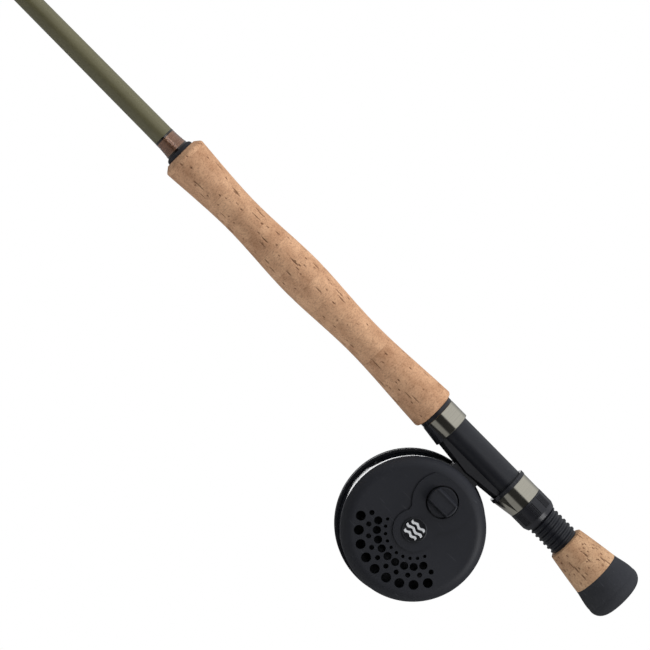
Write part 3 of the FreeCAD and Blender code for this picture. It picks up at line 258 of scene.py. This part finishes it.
def make_cork_group():
    """Cork turned from glued rings: tone by ring, cloudy grain, thin glue lines and dark bark flecks."""
    group, start, end = new_group("cork body", [
        ("Vector", "NodeSocketVector", None), ("Ring Length", "NodeSocketFloat", cork_ring_length),
        ("Pits", "NodeSocketFloat", 0.0), ("Fleck Share", "NodeSocketFloat", 0.12),
        ("Light Tone", "NodeSocketColor", paint(214, 170, 130)),
        ("Dark Tone", "NodeSocketColor", paint(186, 138, 99)),
        ("Bark Tone", "NodeSocketColor", paint(92, 52, 28))],
        [("Color", "NodeSocketColor"), ("Height", "NodeSocketFloat"), ("Bark", "NodeSocketFloat")])
    place = start.outputs["Vector"]
    turns = reckon(group, "DIVIDE", axes_of(group, place)[0], start.outputs["Ring Length"])
    ring = put(group, "ShaderNodeTexWhiteNoise", {"W": reckon(group, "FLOOR", turns)}, noise_dimensions="1D")
    shift = ring.outputs["Color"]
    moved = put(group, "ShaderNodeVectorMath", {0: place, 1: shift}, operation="ADD").outputs[0]
    cloud = noise(group, moved, (90.0, 150.0, 150.0), 6.0, Roughness=0.62)
    cells = noise(group, moved, (1500.0, 900.0, 900.0), 3.0, Roughness=0.7)
    spot_place = stretch(group, moved, (260.0, 640.0, 640.0))
    spots = put(group, "ShaderNodeTexVoronoi", {"Vector": spot_place, "Scale": 1.0})
    chance = put(group, "ShaderNodeSeparateColor", {0: spots.outputs["Color"]}).outputs[0]
    chosen = reckon(group, "LESS_THAN", chance, start.outputs["Fleck Share"])
    spot = reckon(group, "MULTIPLY", ramp(group, spots.outputs["Distance"], 0.12, 0.30, 1.0, 0.0), chosen)
    bark = reckon(group, "MAXIMUM", spot, start.outputs["Pits"])
    bark_tone = start.outputs["Bark Tone"]
    shade = ramp(group, weigh(group, (cloud, 0.75), (ring.outputs["Value"], 0.08)), 0.22, 0.62, 0.0, 1.0)
    body = blend(group, shade, start.outputs["Light Tone"], start.outputs["Dark Tone"])
    mottled = blend(group, ramp(group, cells, 0.46, 0.72, 0.0, 0.52), body, bark_tone)
    part = reckon(group, "FRACT", turns)
    glue_after = ramp(group, part, 0.0, 0.02, 0.16, 0.0)
    glue_before = ramp(group, part, 0.98, 1.0, 0.0, 0.16)
    lined = blend(group, reckon(group, "ADD", glue_after, glue_before), mottled, bark_tone)
    colour = blend(group, reckon(group, "MULTIPLY", bark, 0.92), lined, bark_tone)
    height = reckon(group, "SUBTRACT", reckon(group, "MULTIPLY", cells, 0.5), bark)
    give(group, end, Color=colour, Height=height, Bark=bark)
    return group


grain_group = make_grain_group()
marks_group = make_marks_group()
brush_group = make_brush_group()
thread_group = make_thread_group()
cork_group = make_cork_group()


def use(tree, group, **values):
    node = tree.nodes.new("ShaderNodeGroup")
    node.node_tree = group
    for name, value in values.items():
        socket = node.inputs[name.replace("_", " ")]
        if isinstance(value, bpy.types.NodeSocket):
            tree.links.new(value, socket)
        else:
            socket.default_value = value
    return node.outputs


def new_material(name, **constants):
    """Material with its Principled shader; what stays the same all over is set on the shader itself."""
    material = bpy.data.materials.new(name)
    material.use_nodes = True
    shader = material.node_tree.nodes["Principled BSDF"]
    for label, value in constants.items():
        shader.inputs[label.replace("_", " ")].default_value = value
    return material, material.node_tree, shader


def raise_surface(tree, shader, height, depth):
    bump = put(tree, "ShaderNodeBump", {"Height": height, "Distance": depth, "Strength": 1.0})
    tree.links.new(bump.outputs[0], shader.inputs["Normal"])


def join(tree, socket, shader, name):
    tree.links.new(socket, shader.inputs[name])


# ---- Finishes ----
def make_blank_finish():
    """Olive varnish over graphite, with the faint spiral left by the tape that bound it."""
    material, tree, shader = new_material("olive blank", IOR=1.5, Coat_Roughness=0.3, Metallic=0.15)
    place = object_place(tree)
    grain = use(tree, grain_group, Vector=place, Grain_Size=0.00035, Drift_Size=0.03)
    marks = use(tree, marks_group, Vector=place, Smudge_Size=0.03)
    along, across, up = axes_of(tree, place)
    turn = reckon(tree, "DIVIDE", reckon(tree, "ARCTAN2", up, across), 2 * math.pi)
    spiral = reckon(tree, "FRACT", reckon(tree, "ADD", reckon(tree, "DIVIDE", along, tape_pitch), turn))
    line = ramp(tree, reckon(tree, "ABSOLUTE", reckon(tree, "SUBTRACT", spiral, 0.5)), 0.42, 0.5, 0.0, 1.0)
    body = blend(tree, grain["Tone"], paint(84, 80, 54), paint(106, 101, 74))
    spiralled = blend(tree, reckon(tree, "MULTIPLY", line, 0.10), body, paint(70, 66, 42))
    join(tree, spiralled, shader, "Base Color")
    join(tree, ramp(tree, marks["Smudge"], 0.0, 1.0, 0.40, 0.48), shader, "Roughness")
    join(tree, ramp(tree, marks["Smudge"], 0.0, 1.0, 0.45, 0.35), shader, "Coat Weight")
    return material


def make_thread_finish(name, low_x=None, high_x=None):
    """Copper-brown thread under clear varnish, with dark trim bands where ends are given."""
    material, tree, shader = new_material(name, IOR=1.5, Metallic=0.6, Coat_Weight=1.0, Coat_Roughness=0.10,
                                          Roughness=0.24)
    place = object_place(tree)
    thread = use(tree, thread_group, Vector=place, Pitch=thread_pitch)
    grain = use(tree, grain_group, Vector=place, Grain_Size=0.0004, Drift_Size=0.004)
    body = blend(tree, thread["Tone"], paint(112, 78, 62), paint(162, 122, 96))
    body = blend(tree, reckon(tree, "MULTIPLY", grain["Tone"], 0.35), body, paint(84, 50, 34))
    if low_x is not None:
        along = axes_of(tree, place)[0]
        near = reckon(tree, "LESS_THAN", along, low_x + trim_band)
        far = reckon(tree, "GREATER_THAN", along, high_x - trim_band)
        body = blend(tree, reckon(tree, "MAXIMUM", near, far), body, paint(34, 24, 20))
    join(tree, body, shader, "Base Color")
    raise_surface(tree, shader, thread["Height"], 0.000008)
    return material


def make_moulded_finish(name, dark, light, rough, grain_size, grain_depth, drift_size=0.025, **constants):
    """Moulded, cast or coated face with a fine grain and signs of handling."""
    material, tree, shader = new_material(name, **constants)
    place = object_place(tree)
    grain = use(tree, grain_group, Vector=place, Grain_Size=grain_size, Drift_Size=drift_size)
    marks = use(tree, marks_group, Vector=place, Smudge_Size=drift_size)
    body = blend(tree, grain["Tone"], paint(*dark), paint(*light))
    rubbed = blend(tree, reckon(tree, "MULTIPLY", marks["Rub"], 0.12), body, paint(120, 122, 128))
    join(tree, rubbed, shader, "Base Color")
    wear = weigh(tree, (marks["Smudge"], 0.08), (grain["Tone"], 0.06))
    join(tree, reckon(tree, "ADD", wear, rough), shader, "Roughness")
    raise_surface(tree, shader, grain["Height"], grain_depth)
    return material


def make_reel_finish(name, cage_rough):
    """Fine-grained black on the reel: matte on the faces, smoother on the cage between them."""
    material, tree, shader = new_material(name, Specular_IOR_Level=0.3)
    place = object_place(tree)
    grain = use(tree, grain_group, Vector=place, Grain_Size=0.00028, Drift_Size=0.03)
    marks = use(tree, marks_group, Vector=place, Smudge_Size=0.03)
    face = ramp(tree, axes_of(tree, place)[1], *face_blend, 0.0, 1.0)
    body = blend(tree, grain["Tone"], paint(24, 25, 30), paint(34, 35, 41))
    rubbed = blend(tree, reckon(tree, "MULTIPLY", marks["Rub"], 0.10), body, paint(110, 112, 118))
    join(tree, rubbed, shader, "Base Color")
    smooth = ramp(tree, marks["Smudge"], 0.0, 1.0, cage_rough, cage_rough + 0.08)
    matte = ramp(tree, marks["Smudge"], 0.0, 1.0, 0.50, 0.58)
    mixed = reckon(tree, "ADD", reckon(tree, "MULTIPLY", face, matte),
                   reckon(tree, "MULTIPLY", reckon(tree, "SUBTRACT", 1.0, face), smooth))
    join(tree, mixed, shader, "Roughness")
    raise_surface(tree, shader, reckon(tree, "MULTIPLY", grain["Height"], face), 0.000012)
    return material


def make_metal_finish(name, dark, light, rough, depth=0.000004, metallic=1.0, **constants):
    """Bare or plated metal with fine turned lines."""
    material, tree, shader = new_material(name, Metallic=metallic, **constants)
    place = object_place(tree)
    lines = use(tree, brush_group, Vector=place)
    marks = use(tree, marks_group, Vector=place, Smudge_Size=0.012)
    body = blend(tree, lines["Tone"], paint(*dark), paint(*light))
    join(tree, body, shader, "Base Color")
    wear = reckon(tree, "MULTIPLY", marks["Smudge"], 0.07)
    join(tree, reckon(tree, "ADD", wear, rough), shader, "Roughness")
    raise_surface(tree, shader, lines["Height"], depth)
    return material


def make_cork_finish(name, light, dark, bark, fleck_share):
    material, tree, shader = new_material(name, IOR=1.38)
    place = object_place(tree)
    pits = put(tree, "ShaderNodeAttribute", attribute_name="pits").outputs["Fac"]
    cork = use(tree, cork_group, Vector=place, Pits=pits, Fleck_Share=fleck_share, Light_Tone=paint(*light),
               Dark_Tone=paint(*dark), Bark_Tone=paint(*bark))
    marks = use(tree, marks_group, Vector=place, Smudge_Size=0.03)
    soiled = blend(tree, reckon(tree, "MULTIPLY", marks["Smudge"], 0.16), cork["Color"], paint(150, 112, 80))
    join(tree, soiled, shader, "Base Color")
    join(tree, ramp(tree, cork["Bark"], 0.0, 1.0, 0.72, 0.9), shader, "Roughness")
    raise_surface(tree, shader, cork["Height"], 0.00018)
    return material


def make_pad_finish():
    """Friction pad: brown binder with cork crumbs."""
    material, tree, shader = new_material("friction pad", Roughness=0.85)
    crumbs = put(tree, "ShaderNodeTexVoronoi", {"Vector": object_place(tree), "Scale": crumb_scale})
    share = put(tree, "ShaderNodeSeparateColor", {0: crumbs.outputs["Color"]}).outputs[0]
    join(tree, blend(tree, share, paint(88, 56, 34), paint(158, 116, 76)), shader, "Base Color")
    raise_surface(tree, shader, crumbs.outputs["Distance"], 0.00008)
    return material


finishes = {
    "olive_blank": make_blank_finish(),
    "copper_thread": make_thread_finish("copper thread"),
    "black_rubber": make_moulded_finish("black rubber", (32, 33, 37), (46, 47, 52), 0.66, 0.0004, 0.00004,
                                        0.012, Specular_IOR_Level=0.3),
    "cork": make_cork_finish("cork", (212, 169, 134), (162, 119, 88), (80, 48, 30), 0.08),
    "black_plastic": make_moulded_finish("black plastic", (20, 20, 25), (30, 30, 36), 0.30, 0.0003, 0.000008),
    "pewter": make_metal_finish("pewter plate", (186, 180, 166), (208, 202, 188), 0.10, 0.0000015),
    "black_barrel": make_moulded_finish("black anodised barrel", (16, 17, 22), (24, 25, 32), 0.30, 0.0003,
                                        0.000003),
    "reel_black": make_reel_finish("reel black", 0.14),
    "foot_black": make_moulded_finish("coated foot", (16, 16, 21), (24, 24, 29), 0.38, 0.0004, 0.00001),
    "steel": make_metal_finish("stainless steel", (150, 152, 156), (196, 198, 202), 0.22),
    "dark_steel": make_moulded_finish("blackened steel", (26, 27, 30), (44, 45, 49), 0.36, 0.0003, 0.00001,
                                      Metallic=0.6),
    "guide_wire": make_metal_finish("chromed wire", (176, 178, 182), (214, 216, 220), 0.10, 0.000001),
    "ceramic": make_moulded_finish("guide ceramic", (44, 46, 50), (60, 62, 68), 0.08, 0.0002, 0.000002,
                                   Coat_Weight=1.0, Coat_Roughness=0.03),
    "bronze": make_metal_finish("sintered bronze", (140, 98, 58), (188, 140, 88), 0.38, 0.00001),
    "friction_pad": make_pad_finish(),
    "badge": make_metal_finish("badge metal", (196, 197, 200), (228, 229, 231), 0.34, metallic=0.25),
}
spool_finish = make_reel_finish("spool black", 0.5)
badge_ground = make_moulded_finish("badge ground", (14, 14, 17), (24, 24, 28), 0.22, 0.0002, 0.000004, 0.004)
butt_cork_finish = make_cork_finish("butt cork", (194, 158, 124), (154, 116, 86), (78, 46, 30), 0.22)
wrap_low, wrap_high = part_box("grip_wrap")
grip_thread_finish = make_thread_finish("grip thread", wrap_low[0], wrap_high[0])

for entry in record["subparts"]:
    mesh = nodes[entry["node"]].data
    mesh.materials.clear()
    mesh.materials.append(spool_finish if entry["node"] == "spool" else finishes[entry["material_slot"]])


# ---- Shaping ----
def outline_of(node):
    """Places along a piece turned about the rod's axis, with its outer and inner radius at each."""
    points = numpy.empty(len(nodes[node].data.vertices) * 3)
    nodes[node].data.vertices.foreach_get("co", points)
    points = points.reshape(-1, 3)
    places = numpy.round(points[:, 0], 5)
    radii = numpy.hypot(points[:, 1], points[:, 2])
    found = numpy.unique(places)
    outer = numpy.array([radii[places == x].max() for x in found])
    inner = numpy.array([radii[places == x].min() for x in found])
    return found, outer, inner


def finish_piece(piece, name, node, material, body="rod"):
    """Names a piece, gives it its finish and body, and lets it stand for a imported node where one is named."""
    piece.name = name
    piece.data.name = name
    piece.data.materials.clear()
    piece.data.materials.append(material)
    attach(piece, body)
    if node:
        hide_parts(node)


def begin_at(place):
    """A single vertex in edit mode, ready to be drawn out."""
    bpy.ops.object.select_all(action="DESELECT")
    bpy.ops.mesh.primitive_plane_add(size=0.001, location=place)
    piece = bpy.context.active_object
    bpy.ops.object.mode_set(mode="EDIT")
    bpy.ops.mesh.select_mode(type="VERT")
    bpy.ops.mesh.select_all(action="SELECT")
    bpy.ops.mesh.merge(type="CENTER")
    return piece


def draw_out(step):
    bpy.ops.mesh.extrude_vertices_move(TRANSFORM_OT_translate={"value": step})


def leave_edit(smooth_angle=35.0):
    bpy.ops.mesh.select_all(action="SELECT")
    bpy.ops.mesh.remove_doubles(threshold=0.000001)
    bpy.ops.mesh.normals_make_consistent(inside=False)
    bpy.ops.object.mode_set(mode="OBJECT")
    bpy.ops.object.transform_apply(location=True, rotation=True, scale=True)
    bpy.ops.object.shade_smooth_by_angle(angle=math.radians(smooth_angle))


def turned(stations, segments, centre=(0.0, 0.0, 0.0), axis=(1, 0, 0)):
    """Piece turned about an axis through a centre, from a closed outline of places along it and radii."""
    line, centre = Vector(axis), Vector(centre)
    outwards = Vector((0, 0, 1))
    along, radius = stations[0]
    piece = begin_at(centre + line * along + outwards * radius)
    for next_along, next_radius in stations[1:] + stations[:1]:
        draw_out(line * (next_along - along) + outwards * (next_radius - radius))
        along, radius = next_along, next_radius
    bpy.ops.mesh.select_all(action="SELECT")
    bpy.ops.mesh.spin(steps=segments, angle=2 * math.pi, center=centre, axis=axis)
    leave_edit()
    return piece


# ---- Cork ----
def cork_stations(node):
    """Lathe cuts along a cork piece, with a shallow groove at every glue line."""
    places, outer, inner = outline_of(node)
    bore = inner.min()
    count = round((places[-1] - places[0]) / cork_station)
    stations = [(places[0], bore)]
    for x in numpy.linspace(places[0], places[-1], count + 1):
        from_joint = abs((x / cork_ring_length + 0.5) % 1.0 - 0.5) * cork_ring_length
        groove = cork_joint_depth if from_joint < cork_station / 2 else 0.0
        stations.append((float(x), float(numpy.interp(x, places, outer)) - groove))
    stations.append((places[-1], bore))
    return [(float(x), float(radius)) for x, radius in stations], float(bore)


def sink_pits(piece, seed, count, long_share, bore):
    """Sinks seeded bark pits, long ones along the rod and small round ones, and marks where they are."""
    chance = random.Random(seed)
    mesh = piece.data
    points = numpy.empty(len(mesh.vertices) * 3)
    mesh.vertices.foreach_get("co", points)
    points = points.reshape(-1, 3)
    radii = numpy.hypot(points[:, 1], points[:, 2])
    angles = numpy.arctan2(points[:, 2], points[:, 1])
    low, high = points[:, 0].min(), points[:, 0].max()
    weight = numpy.zeros(len(points))
    for _ in range(count):
        x = chance.uniform(low + 0.001, high - 0.001)
        angle = chance.uniform(-math.pi, math.pi)
        lengths, widths = long_pit if chance.random() < long_share else round_pit
        half_length, half_width = chance.uniform(*lengths), chance.uniform(*widths)
        turn = numpy.abs((angles - angle + math.pi) % (2 * math.pi) - math.pi) * radii
        apart = ((points[:, 0] - x) / half_length) ** 2 + (turn / half_width) ** 2
        weight = numpy.maximum(weight, numpy.sqrt(numpy.clip(1.0 - apart, 0.0, 1.0)))
    weight[radii < bore + 0.001] = 0.0
    mark = mesh.attributes.new("pits", "FLOAT", "POINT")
    mark.data.foreach_set("value", weight.astype(numpy.float32))
    group = piece.vertex_groups.new(name="pit depth")
    for index in numpy.nonzero(weight > 0.02)[0]:
        group.add([int(index)], float(weight[index]), "REPLACE")
    sink = piece.modifiers.new("sink pits", "DISPLACE")
    sink.vertex_group = group.name
    sink.mid_level = 0.0
    sink.strength = -pit_depth
    bpy.ops.object.modifier_apply(modifier=sink.name)


def make_cork(node, name, material, seed, count, long_share):
    stations, bore = cork_stations(node)
    piece = turned(stations, cork_segments)
    sink_pits(piece, seed, count, long_share, bore)
    finish_piece(piece, name, node, material)


make_cork("cork_grip", "turned_cork_grip", finishes["cork"], seed=11, count=190, long_share=0.6)
make_cork("butt_cork", "turned_butt_cork", butt_cork_finish, seed=23, count=70, long_share=0.35)


# ---- Grip wrap ----
def make_grip_wrap():
    """Thread wound turn by turn from the winding check forward, swelling towards the check."""
    places, outer, inner = outline_of("grip_wrap")
    bore = float(inner.min())
    stations = [(float(places[0]), bore)]
    turns = round((places[-1] - places[0]) / thread_pitch)
    for turn in range(turns):
        for share, drop in ((0.0, 1.0), (0.25, 0.25), (0.5, 0.0), (0.75, 0.25)):
            x = float(places[0] + (turn + share) * (places[-1] - places[0]) / turns)
            stations.append((x, float(numpy.interp(x, places, outer)) - thread_depth * drop))
    stations.append((float(places[-1]), float(outer[-1]) - thread_depth))
    stations.append((float(places[-1]), bore))
    piece = turned(stations, wrap_segments)
    finish_piece(piece, "wound_grip_wrap", "grip_wrap", grip_thread_finish)


make_grip_wrap()


# ---- Badge ----
def make_badge():
    """Round badge with a plain dark steel rim and three waves on a dark ground."""
    centre = (middle_of("hub_badge")[0], 0.0, middle_of("hub_badge")[2])
    radius = (badge_high[0] - badge_low[0]) / 2
    low, high = badge_low[1], badge_high[1]
    inside, face = radius - badge_rim_width, high - badge_edge
    ground = turned([(low, 0.0), (low, inside), (face, inside - badge_lean), (face, 0.0)],
                    badge_segments, centre, (0, 1, 0))
    finish_piece(ground, "badge_ground", "hub_badge", badge_ground)
    rim = turned([(low, inside), (low, radius), (high - badge_lean, radius), (high, radius - badge_edge),
                  (high, inside), (face, inside - badge_edge)], badge_segments, centre, (0, 1, 0))
    finish_piece(rim, "badge_rim", None, finishes["dark_steel"])
    for index, half in enumerate(wave_half_lengths):
        make_wave(index, half, centre, high)


def make_wave(index, half, centre, top):
    """One bright wave, drawn along a sine, widened and raised."""
    up = wave_gap - index * wave_gap - wave_width / 2
    floor = top - badge_edge

    def height(share):
        return wave_rise * math.sin(share * 2 * math.pi)

    piece = begin_at(Vector(centre) + Vector((-half, floor, up)))
    for step in range(1, wave_steps + 1):
        before, after = (step - 1) / wave_steps * 2 - 1, step / wave_steps * 2 - 1
        draw_out((2 * half / wave_steps, 0, height(after) - height(before)))
    bpy.ops.mesh.select_all(action="SELECT")
    bpy.ops.mesh.extrude_region_move(TRANSFORM_OT_translate={"value": (0, 0, wave_width)})
    bpy.ops.mesh.select_all(action="SELECT")
    bpy.ops.mesh.extrude_region_move(TRANSFORM_OT_translate={"value": (0, wave_relief, 0)})
    leave_edit(30.0)
    bevel = piece.modifiers.new("soft edge", "BEVEL")
    bevel.width = wave_edge
    bevel.segments = 2
    bpy.ops.object.modifier_apply(modifier=bevel.name)
    finish_piece(piece, "badge_wave_%d" % (index + 1), None, finishes["badge"])


make_badge()


# ---- Floor and light ----
floor_middle = (1.1, 0.0, -0.5)
floor_size = (9.0, 2.2)
# Share of a turn about the rod's axis, from behind by way of below, front and above to behind again, and the
# surround's brightness there.
surround_shades = ((0.20, 0.30), (0.385, 0.30), (0.41, 0.03), (0.53, 0.03), (0.55, 0.72), (0.80, 0.72),
                   (0.93, 0.30))
surround_behind = (0.14, 0.14, 0.15, 1.0)


def make_floor():
    """Pale flat floor well below the rod, left out of mirrored light."""
    bpy.ops.object.select_all(action="DESELECT")
    bpy.ops.mesh.primitive_plane_add(size=1.0, location=floor_middle)
    floor = bpy.context.active_object
    floor.name = "floor"
    floor.scale = (*floor_size, 1.0)
    bpy.ops.object.transform_apply(location=True, rotation=True, scale=True)
    material, tree, shader = new_material("pale floor", Roughness=0.8)
    grain = use(tree, grain_group, Vector=object_place(tree), Grain_Size=0.004, Drift_Size=0.9)
    join(tree, blend(tree, grain["Tone"], paint(226, 226, 225), paint(240, 240, 239)), shader, "Base Color")
    floor.data.materials.append(material)
    floor.visible_glossy = False


def soft_box(name, place, aim, width, height, power, mirrored=True):
    lamp = bpy.data.lights.new(name, "AREA")
    lamp.shape = "RECTANGLE"
    lamp.size = width
    lamp.size_y = height
    lamp.energy = power
    holder = bpy.data.objects.new(name, lamp)
    bpy.context.scene.collection.objects.link(holder)
    towards = (Vector(place) - Vector(aim)).normalized()
    side = Vector((1, 0, 0))
    side = (side - towards * side.dot(towards)).normalized()
    turn = Matrix((side, towards.cross(side), towards)).transposed().to_4x4()
    holder.matrix_world = Matrix.Translation(Vector(place)) @ turn
    holder.visible_camera = False
    holder.visible_glossy = mirrored


def make_world():
    """White surround for the eye; what it lights sees it bright above, dark in front and grey below."""
    world = bpy.data.worlds.new("studio")
    bpy.context.scene.world = world
    world.use_nodes = True
    tree = world.node_tree
    tree.nodes.clear()
    depth, up = axes_of(tree, put(tree, "ShaderNodeTexCoord").outputs["Generated"])[1:]
    turn = ramp(tree, reckon(tree, "ARCTAN2", up, depth), -math.pi, math.pi, 0.0, 1.0)
    shades = put(tree, "ShaderNodeValToRGB", {0: turn})
    stops = shades.color_ramp.elements
    for stop, position in zip(stops, (0.0, 1.0)):
        stop.position, stop.color = position, surround_behind
    for position, shade in surround_shades:
        stops.new(position).color = (shade * 0.95, shade * 0.98, shade, 1.0)
    path = put(tree, "ShaderNodeLightPath")
    fill = put(tree, "ShaderNodeBackground", {"Color": shades.outputs[0], "Strength": 1.0})
    seen = put(tree, "ShaderNodeBackground", {"Color": (1.0, 1.0, 1.0, 1.0), "Strength": 1.0})
    mixed = put(tree, "ShaderNodeMixShader", {
        0: path.outputs["Is Camera Ray"], 1: fill.outputs[0], 2: seen.outputs[0]})
    put(tree, "ShaderNodeOutputWorld", {"Surface": mixed.outputs[0]})


make_floor()
make_world()
soft_box("upper_soft_box", (-0.03, 0.24, 0.9), (-0.03, 0.0, 0.0), 1.2, 0.40, 8.5, mirrored=False)
soft_box("side_soft_box", (-0.9, 0.75, 0.25), (-0.03, 0.0, -0.02), 0.6, 0.6, 5.2)
soft_box("rear_soft_box", (0.02, -1.0, -0.02), (-0.1, 0.0, -0.05), 0.30, 0.30, 0.8)
bpy.context.scene.view_settings.view_transform = "Standard"
